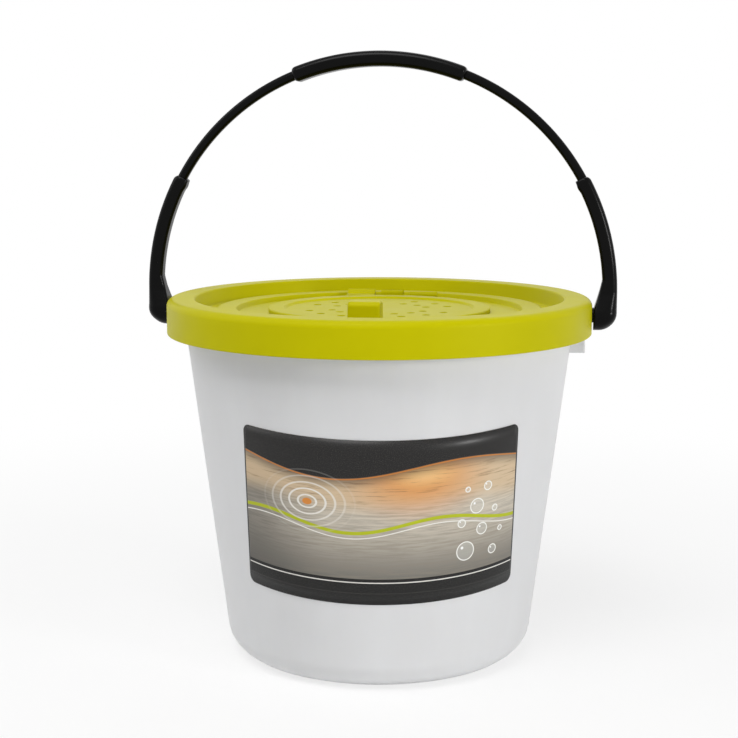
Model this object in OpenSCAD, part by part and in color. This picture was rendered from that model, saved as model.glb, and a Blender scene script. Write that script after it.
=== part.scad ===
// Bait bucket: a tapered pail, a stepped lid with a hinged hatch, and a swinging bail.
// Millimetres, +Z up. The origin is on the floor, under the middle of the bucket.
// The bail turns about an axis along X. The hatch's thumb tab points to the front, -Y.

/* [Bucket] */
// Height of the rim above the floor
rim_z = 240.5; // [225:0.5:260]
// Radius at which the wall would meet the floor without its rounded foot
foot_r = 102; // [96:0.5:108]
// Outer radius of the wall at the rim
mouth_r = 132.7; // [128:0.1:138]
// Thickness of the wall
wall_t = 2.2; // [1.8:0.1:3]
// Thickness of the floor
floor_t = 2.6; // [2:0.1:4]
// Radius of the rounded foot
foot_round = 20.5; // [12:0.5:24]
// Height of the hollow pressed into the underside
kick_h = 2; // [1:0.1:4]
// Radius of the hollow pressed into the underside
kick_r = 72; // [60:1:76]
// Width of the rim's flange beyond the wall
flange_w = 5.9; // [5:0.1:8]
// Depth of the lip that turns down from the flange
lip_h = 9; // [6:0.5:12]

/* [Ears] */
// Width of each bail ear
ear_w = 24; // [20:1:30]
// Distance from the rim down to the bottom of an ear
ear_drop = 32.5; // [28:0.5:40]
// Distance from the rim down to the bail's axis
pivot_drop = 8.5; // [8:0.1:9.5]
// Radius of the bail's snap pins
pin_r = 5; // [4:0.1:5.5]
// Clearance round each pin
pin_gap = 0.2; // [0.1:0.05:0.4]
// How far the head of a snap pin stands out round its shank
pin_head = 1; // [0.6:0.1:1]

/* [Aerator holder] */
// Inside width of the holder's loop
holder_w = 30; // [24:1:40]
// Height of the loop
holder_h = 22; // [16:1:30]
// Gap between the top of the wall behind the loop and the loop's bar
holder_gap = 6.3; // [5.6:0.1:7]
// Thickness of the loop
holder_t = 2.4; // [2:0.1:3]
// Distance from the rim down to the top of the loop
holder_drop = 34.5; // [30:0.5:50]

/* [Label] */
// Width of the label laid flat
label_w = 190.5; // [150:0.5:210]
// Height of the label laid flat
label_h = 108.3; // [80:0.1:120]
// Height of the label's middle above the floor
label_z = 114.1; // [100:0.1:130]
// Angle by which the label's middle lies to the right of the front
label_turn = 7.4; // [0:0.1:15]
// Radius of the label's corners
label_corner = 5; // [2:0.5:10]
// Thickness of the label film
label_t = 0.3; // [0.2:0.05:0.5]

/* [Lid] */
// Thickness of the lid's panels
lid_t = 2.2; // [1.8:0.1:2.6]
// Clearance between the lid's skirt and the rim's lip
skirt_gap = 2.4; // [2:0.1:3]
// Wall of the skirt
skirt_t = 2; // [1.6:0.1:2.4]
// Height of the lid from the skirt's bottom edge to the top
lid_h = 23.3; // [21:0.1:26]
// Radius of the rounded top edge
lid_round = 5; // [3:0.1:6]
// Width of the flat band round the lid, from the skirt to the well
band_w = 18.5; // [16:0.1:19]
// How far the well's wall leans inwards
well_lean = 3; // [1:0.1:4]
// Depth of the well's floor below the top of the lid
well_depth = 10.5; // [9.5:0.1:11]
// Width of the well's floor between the hatch and the raised ring
ring_room = 20; // [18.5:0.5:22]
// Width of the raised ring's top
ring_w = 12.5; // [8:0.5:14]
// Depth of the raised ring's top below the top of the lid
ring_drop = 7; // [5:0.1:8]
// How far each side of the raised ring leans
ring_lean = 1.5; // [0.5:0.1:2]
// Radius of the air hose hole
hose_r = 3.5; // [2.5:0.1:3.8]
// Height of the collar round the air hose hole
hose_collar_h = 2; // [1:0.1:3]

/* [Hatch] */
// Outer radius of the hatch
hatch_r = 75; // [72:0.5:76]
// Width of the hatch's raised ring
hatch_ring_w = 10.5; // [8:0.1:12]
// Thickness of the hatch's panels
hatch_t = 2; // [1.6:0.1:2.2]
// Depth of the hatch's middle panel below its ring
hatch_dish = 1.5; // [1:0.1:2]
// Height of the plug under the hatch, from its middle panel
plug_h = 5; // [3:0.1:7]
// Clearance between the plug and the lid's opening
plug_gap = 0.8; // [0.7:0.05:1.2]
// Radius of each vent hole
vent_r = 2.75; // [2:0.05:3.5]
// Radius of the inner circle of vent holes
vent_inner = 33; // [30:0.5:36]
// Radius of the outer circle of vent holes
vent_outer = 48.5; // [45:0.5:52]
// Width of the thumb tab
tab_w = 20.6; // [16:0.2:26]
// How far the thumb tab's front face stands out from the hatch's edge
tab_out = 10; // [7:0.5:13]
// How far the thumb tab's root reaches in over the hatch's ring
tab_root = 8; // [4:0.5:10]
// Height of the thumb tab above the top of the lid
tab_h = 5; // [3:0.1:8]

/* [Hatch hinge] */
// Distance of the hinge's axis from the hatch's edge
hinge_out = 9; // [7.5:0.1:10]
// Height of the hinge's axis above the well's floor
hinge_h = 2.9; // [2.8:0.05:3.2]
// Radius of the hinge bar
bar_r = 2; // [1.6:0.05:2.2]
// Clearance between the bar and its clip
bar_gap = 0.1; // [0.05:0.01:0.2]
// Distance of each hinge lug from the middle
lug_x = 22.6; // [20:0.1:24]
// Width of each hinge lug
lug_w = 20; // [14:0.5:20]
// Width of the lid's clip
clip_w = 16; // [10:0.5:18]
// Wall of the lid's clip
clip_t = 1.5; // [1.2:0.1:1.8]

/* [Bail] */
// Height of the middle of the bail's arch above its axis
arch_rise = 14.7; // [10:0.1:20]
// Clearance between the lid's edge and the inside of the arms' arch
bail_clear = 6.4; // [6:0.1:12]
// Clearance between the lid's edge and the arms at the axis
arm_gap = 0.8; // [0.5:0.1:1.5]
// Thickness of the arms
arm_t = 9.8; // [9.2:0.1:11]
// Depth of the arms from front to back
arm_d = 11; // [10.5:0.5:14]
// Radius of the arms' rounded ends about the axis
arm_end_r = 10; // [9:0.5:11]
// Angle at which each arm ends, above the level of the arch's middle
arm_angle = 29.5; // [24:0.5:34]
// Thickness of the strap
strap_t = 6.4; // [5:0.1:6.8]
// Depth of the strap from front to back
strap_d = 7.4; // [6.4:0.1:8]
// How far the strap lies outside the inner face of the arms
strap_inset = 1.7; // [1.4:0.1:2]
// Angle by which the strap reaches into each arm
strap_grab = 7; // [4:0.5:10]
// Clearance between the strap and the pieces fixed on it
strap_gap = 0.1; // [0.05:0.05:0.2]
// Angle from the top of the arch to each end of the hand grip
grip_angle = 21.8; // [18:0.1:26]
// Wall of the hand grip over the strap
grip_wall = 1.7; // [1.2:0.1:2]
// Thickness of the hand grip
grip_t = 10.2; // [9.8:0.1:12]
// Depth of the hand grip from front to back
grip_d = 18; // [17:0.5:22]
// Rounding of the grip's ends, seen from the front
grip_round = 3; // [1:0.5:4]
// Rounding of the arms' upper ends, on their outer side
arm_round = 4; // [2:0.5:5]

/* [Hidden] */
$fn = 96;

// Clearance between pieces that rest on each other
seat = 0.3;
// Thickness of the glue between the label and the wall
glue = 0.12;
// Overshoot of a cut past the face it opens
over = 1;

// Bucket: the wall leans out evenly from the foot to the rim
function wall_r(z) = foot_r + (mouth_r - foot_r) * z / rim_z;
wall_lean = atan((mouth_r - foot_r) / rim_z);
lip_r = mouth_r + flange_w;
lip_t = 2;

// Lid: it sits on the rim, and its skirt hangs outside the lip
lid_top = rim_z + seat + lid_t;
lid_r = lip_r + skirt_gap + skirt_t;
skirt_z = lid_top - lid_h;
bead_gap = 0.8;
bead_drop = 3;
bead_z = rim_z - lip_h - bead_drop;
notch_gap = 2;
well_top_r = lid_r - band_w;
well_r = well_top_r - well_lean;
well_z = lid_top - well_depth;
ring_z = lid_top - ring_drop;
ring_in_r = hatch_r + ring_room + ring_lean;
ring_out_r = ring_in_r + ring_w;
hose_wall = 1.7;
hose_y = (well_r + ring_out_r + ring_lean) / 2;

// Hatch: its rim stands on the well's floor, and its plug hangs in the opening
hatch_top = ring_z;
tab_reach = hatch_r + tab_out;
hatch_edge_z = well_z + seat;
panel_r = hatch_r - hatch_ring_w;
panel_z = hatch_top - hatch_dish;
plug_r = panel_r + 1;
opening_r = plug_r + plug_gap;
rib_h = 1.5;
rib_t = 1.4;
rib_x = 3.4;
rib_reach = vent_outer;
vent_angles = [22, 44, 66];

// Hatch hinge
hinge_y = hatch_r + hinge_out;
hinge_z = well_z + hinge_h;
knuckle_r = bar_r + 0.5;
clip_r = bar_r + bar_gap + clip_t;
// The clip's mouth is narrower than the bar, so the bar has to be snapped in
clip_mouth = 1.7 * bar_r;
leaf_gap = 1.4;
// Radius and direction of the heel that stops the hatch just past 110 degrees
heel_r = hinge_h + 1.1;
heel_angle = 22 + acos(hinge_h / heel_r);

// Bail
pivot_z = rim_z - pivot_drop;
pivot_x = lid_r + arm_gap;
arch_z = pivot_z + arch_rise;
arm_r0 = lid_r + bail_clear;
arm_r1 = arm_r0 + arm_t;
strap_r0 = arm_r0 + strap_inset;
strap_r1 = strap_r0 + strap_t;
grip_r1 = strap_r1 + grip_wall;
grip_r0 = grip_r1 - grip_t;
// Rounding of the long edges of the strap, of the grip, and of each side of the arms
strap_edge = 0.45 * min(strap_t, strap_d);
grip_edge = 4;
arm_edge_in = 2.5;
arm_edge_out = 4;
plate_in = lip_r - wall_t;
// Height above the arch's middle at which the arms start to thicken towards the axis
throat_rise = 8.7;

// Angle that a length takes on the strap's inner face
function arc_angle(length) = length / strap_r0 * 180 / PI;

// Outline through the points [x, y, r], with each corner rounded to the radius r
function unit2(v) = v / norm(v);
function turn(a0, a1) = let (d = a1 - a0) d > 180 ? d - 360 : d < -180 ? d + 360 : d;
function corner(a, b, c, r, n) = let (
    u = unit2(a - b),
    v = unit2(c - b),
    half = acos(u * v) / 2,
    mid = b + unit2(u + v) * r / sin(half),
    s = b + u * r / tan(half) - mid,
    e = b + v * r / tan(half) - mid,
    a0 = atan2(s.y, s.x),
    sweep = turn(a0, atan2(e.y, e.x))
) [for (i = [0:n]) mid + r * [cos(a0 + sweep * i / n), sin(a0 + sweep * i / n)]];
function at(p, i) = let (q = p[(i + len(p)) % len(p)]) [q.x, q.y];
function rounded(p, n = 4) = [
    for (i = [0:len(p) - 1])
        each p[i][2] == 0 ? [at(p, i)] : corner(at(p, i - 1), at(p, i), at(p, i + 1), p[i][2], n)
];

// Bucket

module bucket_outside() {
    rotate_extrude()
        polygon(rounded([
            [0, kick_h, 0],
            [kick_r, kick_h, 0.8],
            [kick_r + kick_h, 0, 0.8],
            [foot_r, 0, foot_round],
            [wall_r(rim_z - wall_t), rim_z - wall_t, 1],
            [lip_r - lip_t, rim_z - wall_t, 0.8],
            [lip_r - lip_t, rim_z - lip_h, 0.6],
            [lip_r, rim_z - lip_h, 0.6],
            [lip_r, rim_z, 1.6],
            [0, rim_z, 0]
        ]));
}

module bucket_cavity() {
    floor_z = floor_t + kick_h;
    inner_foot = foot_r - wall_t;
    rotate_extrude()
        polygon(rounded([
            [0, floor_z, 0],
            [kick_r, floor_z, 0.8],
            [kick_r + kick_h, floor_t, 0.8],
            [wall_r(floor_t) - wall_t, floor_t, foot_round - wall_t],
            [mouth_r - wall_t, rim_z, 0],
            [mouth_r - wall_t, rim_z + over, 0],
            [0, rim_z + over, 0]
        ]));
}

// Boxed lug that carries one end of the bail, open underneath
module ear() {
    bottom = rim_z - ear_drop;
    difference() {
        translate([0, -ear_w / 2, bottom])
            cube([lip_r, ear_w, ear_drop - wall_t / 2]);
        translate([0, -ear_w / 2 + wall_t, bottom - over])
            cube([plate_in, ear_w - 2 * wall_t, ear_drop - wall_t + over]);
    }
}

// Bore through the right ear and the lip, with clearance for a snap pin
module ear_bore() {
    translate([mouth_r + over, 0, pivot_z])
        rotate([0, 90, 0])
            cylinder(r = pin_r + pin_gap, h = flange_w);
}

// Loop on the back of the bucket that takes the belt clip of an air pump
module aerator_holder() {
    top = rim_z - holder_drop;
    bar_y = wall_r(top) + holder_gap;
    translate([0, 0, top - holder_h])
        difference() {
            translate([-holder_w / 2 - holder_t, 0, 0])
                cube([holder_w + 2 * holder_t, bar_y + holder_t, holder_h]);
            translate([-holder_w / 2, -over, -over])
                cube([holder_w, bar_y + over, holder_h + 2 * over]);
        }
}

module bucket() {
    color([0.93, 0.93, 0.92])
        difference() {
            union() {
                bucket_outside();
                ear();
                mirror([1, 0, 0])
                    ear();
                aerator_holder();
            }
            bucket_cavity();
            ear_bore();
            mirror([1, 0, 0])
                ear_bore();
        }
}

// Label: a flat film wrapped round the front of the wall

function label_x(z) = wall_r(z) * sin(label_w / 2 / wall_r(z) * 180 / PI);

module label() {
    rise = label_h / 2 * cos(wall_lean);
    top_x = label_x(label_z + rise);
    low_x = label_x(label_z - rise);
    reach = wall_r(label_z) / 2;
    color([0.55, 0.5, 0.42])
        intersection() {
            rotate_extrude()
                polygon([
                    [wall_r(0) + glue, 0],
                    [wall_r(0) + glue + label_t, 0],
                    [wall_r(rim_z) + glue + label_t, rim_z],
                    [wall_r(rim_z) + glue, rim_z]
                ]);
            rotate([0, 0, label_turn])
                translate([0, -wall_r(label_z), label_z])
                    rotate([90 + wall_lean, 0, 0])
                        translate([0, 0, -reach])
                            linear_extrude(reach + over)
                                polygon(rounded([
                                    [-low_x, -label_h / 2, label_corner],
                                    [low_x, -label_h / 2, label_corner],
                                    [top_x, label_h / 2, label_corner],
                                    [-top_x, label_h / 2, label_corner]
                                ], 6));
        }
}

// Lid

module lid_shell() {
    under = lid_top - lid_t;
    skirt_in = lid_r - skirt_t;
    bead_r = lip_r + bead_gap;
    rotate_extrude()
        polygon(rounded([
            [opening_r, well_z, 0.5],
            [opening_r, well_z - lid_t, 0.5],
            [ring_in_r - ring_lean + lid_t, well_z - lid_t, 0],
            [ring_in_r + lid_t, ring_z - lid_t, 0],
            [ring_out_r - lid_t, ring_z - lid_t, 0],
            [ring_out_r + ring_lean - lid_t, well_z - lid_t, 0],
            [well_r + lid_t, well_z - lid_t, 1],
            [well_top_r + lid_t, under, 0.8],
            [skirt_in, under, 2],
            [skirt_in, bead_z + 2, 0],
            [bead_r, bead_z + 0.8, 0.3],
            [skirt_in, bead_z - 1, 0],
            [skirt_in, skirt_z, 0.6],
            [lid_r, skirt_z, 0.6],
            [lid_r, lid_top, lid_round],
            [well_top_r, lid_top, 1.5],
            [well_r, well_z, 1.5],
            [ring_out_r + ring_lean, well_z, 0.8],
            [ring_out_r, ring_z, 1],
            [ring_in_r, ring_z, 1],
            [ring_in_r - ring_lean, well_z, 0.8]
        ]));
}

// Slot, open at the bottom, that lets the lid drop over a bail pin
module skirt_notch() {
    notch_r = pin_r + notch_gap;
    translate([well_top_r + 2 * lid_t, 0, 0]) {
        translate([0, 0, pivot_z])
            rotate([0, 90, 0])
                cylinder(r = notch_r, h = lid_r);
        translate([0, -notch_r, skirt_z - over])
            cube([lid_r, 2 * notch_r, pivot_z - skirt_z + over]);
    }
}

// Snap clip on the well's floor, with its mouth upwards, that holds the hatch's bar
module hinge_clip() {
    translate([-clip_w / 2, hinge_y, hinge_z])
        difference() {
            union() {
                rotate([0, 90, 0])
                    cylinder(r = clip_r, h = clip_w);
                translate([0, -clip_r, -hinge_h - lid_t / 2])
                    cube([clip_w, 2 * clip_r, hinge_h + lid_t / 2]);
            }
            translate([-over, 0, 0])
                rotate([0, 90, 0])
                    cylinder(r = bar_r + bar_gap, h = clip_w + 2 * over);
            translate([-over, -clip_mouth / 2, 0])
                cube([clip_w + 2 * over, clip_mouth, clip_r + over]);
        }
}

module lid() {
    hose_z = well_z - lid_t - over;
    color([0.74, 0.72, 0.05])
        difference() {
            union() {
                lid_shell();
                hinge_clip();
                translate([0, hose_y, well_z - lid_t / 2])
                    cylinder(r = hose_r + hose_wall, h = hose_collar_h + lid_t / 2);
            }
            skirt_notch();
            mirror([1, 0, 0])
                skirt_notch();
            translate([0, hose_y, hose_z])
                cylinder(r = hose_r, h = lid_t + hose_collar_h + 2 * over);
        }
}

// Hatch

module hatch_shell() {
    flange_z = hatch_top - hatch_t;
    rotate_extrude()
        polygon(rounded([
            [0, panel_z, 0],
            [0, panel_z - hatch_t, 0],
            [plug_r - hatch_t, panel_z - hatch_t, 0.5],
            [plug_r - hatch_t, panel_z - plug_h - hatch_t, 0.5],
            [plug_r, panel_z - plug_h - hatch_t, 0.8],
            [plug_r, flange_z, 0],
            [hatch_r - hatch_t, flange_z, 0],
            [hatch_r - hatch_t, hatch_edge_z, 0.3],
            [hatch_r, hatch_edge_z, 0.3],
            [hatch_r, hatch_top, 1.2],
            [panel_r, hatch_top, 0.8],
            [panel_r - hatch_dish, panel_z, 0.8]
        ]));
}

// Hollow block for the thumb, rounded over on top
module thumb_tab() {
    low = hatch_top - hatch_t;
    high = lid_top + tab_h;
    back = hatch_r - tab_root;
    difference() {
        intersection() {
            translate([-tab_w / 2, 0, 0])
                rotate([90, 0, 90])
                    linear_extrude(tab_w)
                        polygon(rounded([
                            [-tab_reach, low, 0.8],
                            [-back, low, 0],
                            [-back, high, 5],
                            [-tab_reach, high, 3.5]
                        ]));
            rotate([90, 0, 0])
                linear_extrude(tab_reach)
                    polygon(rounded([
                        [-tab_w / 2, low, 0],
                        [tab_w / 2, low, 0],
                        [tab_w / 2, high, 2],
                        [-tab_w / 2, high, 2]
                    ]));
        }
        translate([-tab_w / 2 + hatch_t, -tab_reach + hatch_t, low - over])
            cube([tab_w - 2 * hatch_t, tab_reach - hatch_t - hatch_r - 0.5, high - low - hatch_t + over]);
    }
}

// Side view of a hinge lug: a leaf, a knuckle round the axis, and a heel that stops the hatch
module lug_side() {
    leaf_y = hatch_r - hatch_t - hinge_y;
    leaf_top = hatch_top - hinge_z;
    heel = heel_r * [cos(heel_angle), sin(heel_angle)];
    circle(r = knuckle_r);
    polygon([
        [leaf_y, leaf_top],
        [leaf_y, leaf_top - hatch_t],
        [0, -knuckle_r],
        [0, leaf_top]
    ]);
    polygon([
        [-knuckle_r, 0],
        [0, 0],
        heel,
        heel - [1.6, 0]
    ]);
}

module hinge_lug() {
    translate([lug_x - lug_w / 2, hinge_y, hinge_z])
        rotate([90, 0, 90])
            linear_extrude(lug_w)
                lug_side();
}

module hatch_hinge() {
    gap = lug_x - lug_w / 2;
    leaf_front = hatch_r - hatch_t;
    leaf_back = hinge_y - clip_r - leaf_gap;
    hinge_lug();
    mirror([1, 0, 0])
        hinge_lug();
    translate([-gap - over, hinge_y, hinge_z])
        rotate([0, 90, 0])
            cylinder(r = bar_r, h = 2 * (gap + over));
    translate([-gap - over, leaf_front, hatch_top - hatch_t])
        cube([2 * (gap + over), leaf_back - leaf_front, hatch_t]);
}

// Round hollow cored out of the underside of each lug's leaf
module lug_core() {
    core_r = 3;
    translate([lug_x, hinge_y - knuckle_r - core_r - over, hatch_top - hatch_t - over])
        cylinder(r = core_r, h = over + hatch_t / 2);
}

module vents() {
    for (side = [0, 1], end = [0, 1], r = [vent_inner, vent_outer], a = vent_angles)
        mirror([side, 0, 0])
            mirror([0, end, 0])
                translate([r * cos(a), r * sin(a), panel_z - hatch_t - over])
                    cylinder(r = vent_r, h = hatch_t + 2 * over);
}

module hatch() {
    color([0.74, 0.72, 0.05])
        difference() {
            union() {
                hatch_shell();
                thumb_tab();
                hatch_hinge();
                for (x = [-rib_x, rib_x])
                    translate([x - rib_t / 2, -rib_reach, panel_z - hatch_t - rib_h])
                        cube([rib_t, 2 * rib_reach, rib_h + hatch_t / 2]);
            }
            vents();
            lug_core();
            mirror([1, 0, 0])
                lug_core();
        }
}

// Bail

// Cross-section of a sweep, with its inner corners rounded to in_r and its outer ones to out_r
function section(r0, r1, depth, in_r, out_r) = rounded([
    [r0, -depth / 2, in_r],
    [r1, -depth / 2, out_r],
    [r1, depth / 2, out_r],
    [r0, depth / 2, in_r]
], 6);

// Sweep of a cross-section along the arch, from angle a0 to angle a1
module arch(a0, a1, outline) {
    translate([0, 0, arch_z])
        rotate([90, 0, 0])
            rotate([0, 0, a0])
                rotate_extrude(angle = a1 - a0)
                    polygon(outline);
}

// Cut that rounds off a corner at the end of a sweep, seen from the front: way is 1 where the
// sweep ends at this angle and -1 where it starts, and side is 1 for the outer corner, -1 inside
module end_round(angle, way, r, side, round) {
    translate([0, 0, arch_z])
        rotate([90, 0, 0])
            rotate([0, 0, angle])
                translate([r - side * round, -way * round, -grip_d])
                    difference() {
                        translate([min(0, side) * (round + over), min(0, way) * (round + over), 0])
                            cube([round + over, round + over, 2 * grip_d]);
                        translate([0, 0, -over])
                            cylinder(r = round, h = 2 * (grip_d + over));
                    }
}

module bail_strap() {
    start = arm_angle - strap_grab;
    color([0.1, 0.1, 0.1])
        arch(start, 180 - start, section(strap_r0, strap_r1, strap_d, strap_edge, strap_edge));
}

module strap_socket(a0, a1) {
    g = strap_gap;
    r = strap_edge + g;
    arch(a0, a1, section(strap_r0 - g, strap_r1 + g, strap_d + 2 * g, r, r));
}

module hand_grip() {
    a0 = 90 - grip_angle;
    a1 = 90 + grip_angle;
    color([0.08, 0.08, 0.08])
        difference() {
            arch(a0, a1, section(grip_r0, grip_r1, grip_d, grip_edge, grip_edge));
            for (way = [-1, 1]) {
                end_round(90 + way * grip_angle, way, grip_r1, 1, grip_round);
                end_round(90 + way * grip_angle, way, grip_r0, -1, grip_round);
            }
            strap_socket(a0 - 1, a1 + 1);
        }
}

// Lower end of the right arm, cut to its front, side and top views
module arm_foot() {
    low = pivot_z - arm_end_r;
    throat = arch_z + throat_rise;
    arm_mid = (arm_r0 + arm_r1) / 2;
    neck = arm_d / 2 - 1;
    flare = 25;
    outer_round = 8;
    intersection() {
        translate([0, arm_end_r, 0])
            rotate([90, 0, 0])
                linear_extrude(2 * arm_end_r)
                    polygon(rounded([
                        [pivot_x, low, 1.5],
                        [arm_r1, low, 12],
                        [arm_r1, arch_z, 0],
                        [arm_mid, arch_z, 0],
                        [arm_mid, throat, 0],
                        [arm_r0, throat, 0],
                        [pivot_x, pivot_z + 3, 3]
                    ], 8));
        rotate([90, 0, 90])
            linear_extrude(arm_r1 + over) {
                translate([0, pivot_z])
                    circle(r = arm_end_r);
                polygon([
                    [-neck, throat],
                    [-neck, arch_z],
                    [-arm_end_r * cos(flare), pivot_z + arm_end_r * sin(flare)],
                    [arm_end_r * cos(flare), pivot_z + arm_end_r * sin(flare)],
                    [neck, arch_z],
                    [neck, throat]
                ]);
            }
        translate([0, 0, low])
            linear_extrude(throat - low)
                polygon(rounded([
                    [pivot_x, -arm_end_r, 1],
                    [arm_r1, -arm_end_r, outer_round],
                    [arm_r1, arm_end_r, outer_round],
                    [pivot_x, arm_end_r, 1]
                ]));
    }
}

// Split snap pin that passes through the lid's notch into the ear
module snap_pin() {
    head_x = plate_in - seat;
    head_l = 2;
    split_w = 1.6;
    split_l = 5;
    translate([0, 0, pivot_z])
        difference() {
            union() {
                translate([head_x - head_l, 0, 0])
                    rotate([0, 90, 0])
                        cylinder(r = pin_r, h = pivot_x - head_x + head_l + over);
                translate([head_x - head_l, 0, 0])
                    rotate([0, 90, 0])
                        cylinder(r = pin_r + pin_head, h = head_l);
            }
            translate([head_x - head_l - over, -split_w / 2, -2 * pin_r])
                cube([split_l + over, split_w, 4 * pin_r]);
        }
}

module bail_arm_right() {
    top = arm_angle;
    inner_round = 1;
    color([0.07, 0.07, 0.07])
        difference() {
            union() {
                arch(0, top, section(arm_r0, arm_r1, arm_d, arm_edge_in, arm_edge_out));
                arm_foot();
                snap_pin();
            }
            end_round(top, 1, arm_r1, 1, arm_round);
            end_round(top, 1, arm_r0, -1, inner_round);
            strap_socket(top - strap_grab - arc_angle(seat), top + 1);
        }
}

module bail_arm_left() {
    mirror([1, 0, 0])
        bail_arm_right();
}

bucket();
label();
lid();
hatch();
bail_strap();
hand_grip();
bail_arm_left();
bail_arm_right();
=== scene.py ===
from math import atan, atan2, cos, degrees, hypot, pi, radians, sin, sqrt, tan

import bmesh
import bpy
from mathutils import Matrix, Vector


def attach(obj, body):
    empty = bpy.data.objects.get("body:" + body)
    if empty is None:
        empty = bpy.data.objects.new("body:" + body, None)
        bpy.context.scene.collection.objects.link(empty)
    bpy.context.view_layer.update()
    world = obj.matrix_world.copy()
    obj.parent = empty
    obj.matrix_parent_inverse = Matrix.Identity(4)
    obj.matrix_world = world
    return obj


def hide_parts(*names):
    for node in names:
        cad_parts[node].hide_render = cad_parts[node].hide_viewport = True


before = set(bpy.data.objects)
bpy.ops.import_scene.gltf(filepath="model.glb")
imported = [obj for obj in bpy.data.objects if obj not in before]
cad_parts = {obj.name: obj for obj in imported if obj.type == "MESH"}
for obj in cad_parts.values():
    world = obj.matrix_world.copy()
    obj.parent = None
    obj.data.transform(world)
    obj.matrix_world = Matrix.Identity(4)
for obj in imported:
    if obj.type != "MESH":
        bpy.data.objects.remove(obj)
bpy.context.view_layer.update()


# ---------------------------------------------------------------- Bucket
# The pail: injection-moulded off-white polyethylene, 2.2 mm thick, on a foot ring. Its lip turns down,
# and a boxed ear under the lip at each side takes the bail. A loop at the back takes an air pump's clip.
# All of it comes out of one mould.

MM = 0.001


def upright(across, up):
    return Vector((across, 0, up)) * MM


def draw_outline(bm, corners, place=upright, closed=False, steps=6):
    """Draws a line of edges through corners (across, up, rounding) in mm, and rounds them."""
    points = [place(across, up) for across, up, _ in corners]
    before = set(bm.edges)
    verts = [bm.verts.new(point) for point in points]
    for here, there in zip(verts, verts[1:] + verts[:1] if closed else verts[1:]):
        bm.edges.new((here, there))
    for i, (_, _, rounding) in enumerate(corners):
        if rounding:
            back = points[i - 1] - points[i]
            on = points[(i + 1) % len(points)] - points[i]
            bmesh.ops.bevel(bm, geom=[verts[i]], offset=rounding * MM / tan(back.angle(on) / 2),
                            offset_type='OFFSET', segments=steps, profile=0.5,
                            affect='VERTICES', material=-1)
    return [edge for edge in bm.edges if edge not in before]


def close_up(bm):
    """Joins the points that lie on each other, and turns every face outwards."""
    bmesh.ops.remove_doubles(bm, verts=bm.verts[:], dist=0.002 * MM)
    bmesh.ops.recalc_face_normals(bm, faces=bm.faces[:])
    return bm


def turned(corners, steps, closed=False, rounding_steps=6):
    """A shape turned round the Z axis from its outline, as on a lathe."""
    bm = bmesh.new()
    draw_outline(bm, corners, closed=closed, steps=rounding_steps)
    bmesh.ops.spin(bm, geom=bm.verts[:] + bm.edges[:], cent=(0, 0, 0), axis=(0, 0, 1),
                   dvec=(0, 0, 0), angle=2 * pi, steps=steps, use_merge=True)
    return close_up(bm)


def block(low, high):
    """A box between two corners, in mm."""
    bm = bmesh.new()
    low, high = Vector(low) * MM, Vector(high) * MM
    bmesh.ops.create_cube(bm, size=1, matrix=Matrix.LocRotScale((low + high) / 2, None, high - low))
    return bm


def rod(radius, start, end, steps=48):
    """A round rod between two points, in mm."""
    bm = bmesh.new()
    start, end = Vector(start) * MM, Vector(end) * MM
    lie = (end - start).to_track_quat('Z', 'Y').to_matrix().to_4x4()
    bmesh.ops.create_cone(bm, cap_ends=True, segments=steps, radius1=radius * MM, radius2=radius * MM,
                          depth=(end - start).length,
                          matrix=Matrix.Translation((start + end) / 2) @ lie)
    return bm


def soften(bm, edges, radius, steps=3):
    """Rounds edges to a radius in mm."""
    bmesh.ops.bevel(bm, geom=edges, offset=radius * MM, offset_type='OFFSET', segments=steps,
                    profile=0.5, affect='EDGES', material=-1, clamp_overlap=True)
    return bm


def edges_where(bm, test):
    """The edges whose ends both pass a test of their place in mm."""
    return [edge for edge in bm.edges if all(test(vert.co / MM) for vert in edge.verts)]


def slice_at(bm, point, way, cut_off=False):
    """Cuts through a shape at a point in mm, and can cut off what lies beyond it and close the cut."""
    bmesh.ops.bisect_plane(bm, geom=bm.verts[:] + bm.edges[:] + bm.faces[:],
                           plane_co=Vector(point) * MM, plane_no=way, clear_outer=cut_off)
    if cut_off:
        bmesh.ops.holes_fill(bm, edges=[edge for edge in bm.edges if edge.is_boundary], sides=0)


def open_box(low, high, open_ways, rounding, thickness, steps=3):
    """A thin-walled box that is open some ways, with its upright edges rounded."""
    bm = block(low, high)
    gone = [face for face in bm.faces if any(face.normal.dot(Vector(way)) > 0.5 for way in open_ways)]
    bmesh.ops.delete(bm, geom=gone, context='FACES_ONLY')
    rise = 10 * MM
    corners = [edge for edge in bm.edges
               if not edge.is_boundary and abs(edge.verts[0].co.z - edge.verts[1].co.z) > rise]
    soften(bm, corners, rounding, steps)
    bmesh.ops.solidify(bm, geom=bm.faces[:], thickness=thickness * MM)
    bmesh.ops.recalc_face_normals(bm, faces=bm.faces[:])
    return bm


def mirror(bm):
    """Turns a shape on the right into its mirror image on the left."""
    bmesh.ops.scale(bm, vec=(-1, 1, 1), verts=bm.verts[:])
    bmesh.ops.reverse_faces(bm, faces=bm.faces[:])


def make_piece(name, bm):
    mesh = bpy.data.meshes.new(name)
    bm.to_mesh(mesh)
    bm.free()
    piece = bpy.data.objects.new(name, mesh)
    bpy.context.scene.collection.objects.link(piece)
    return piece


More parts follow.
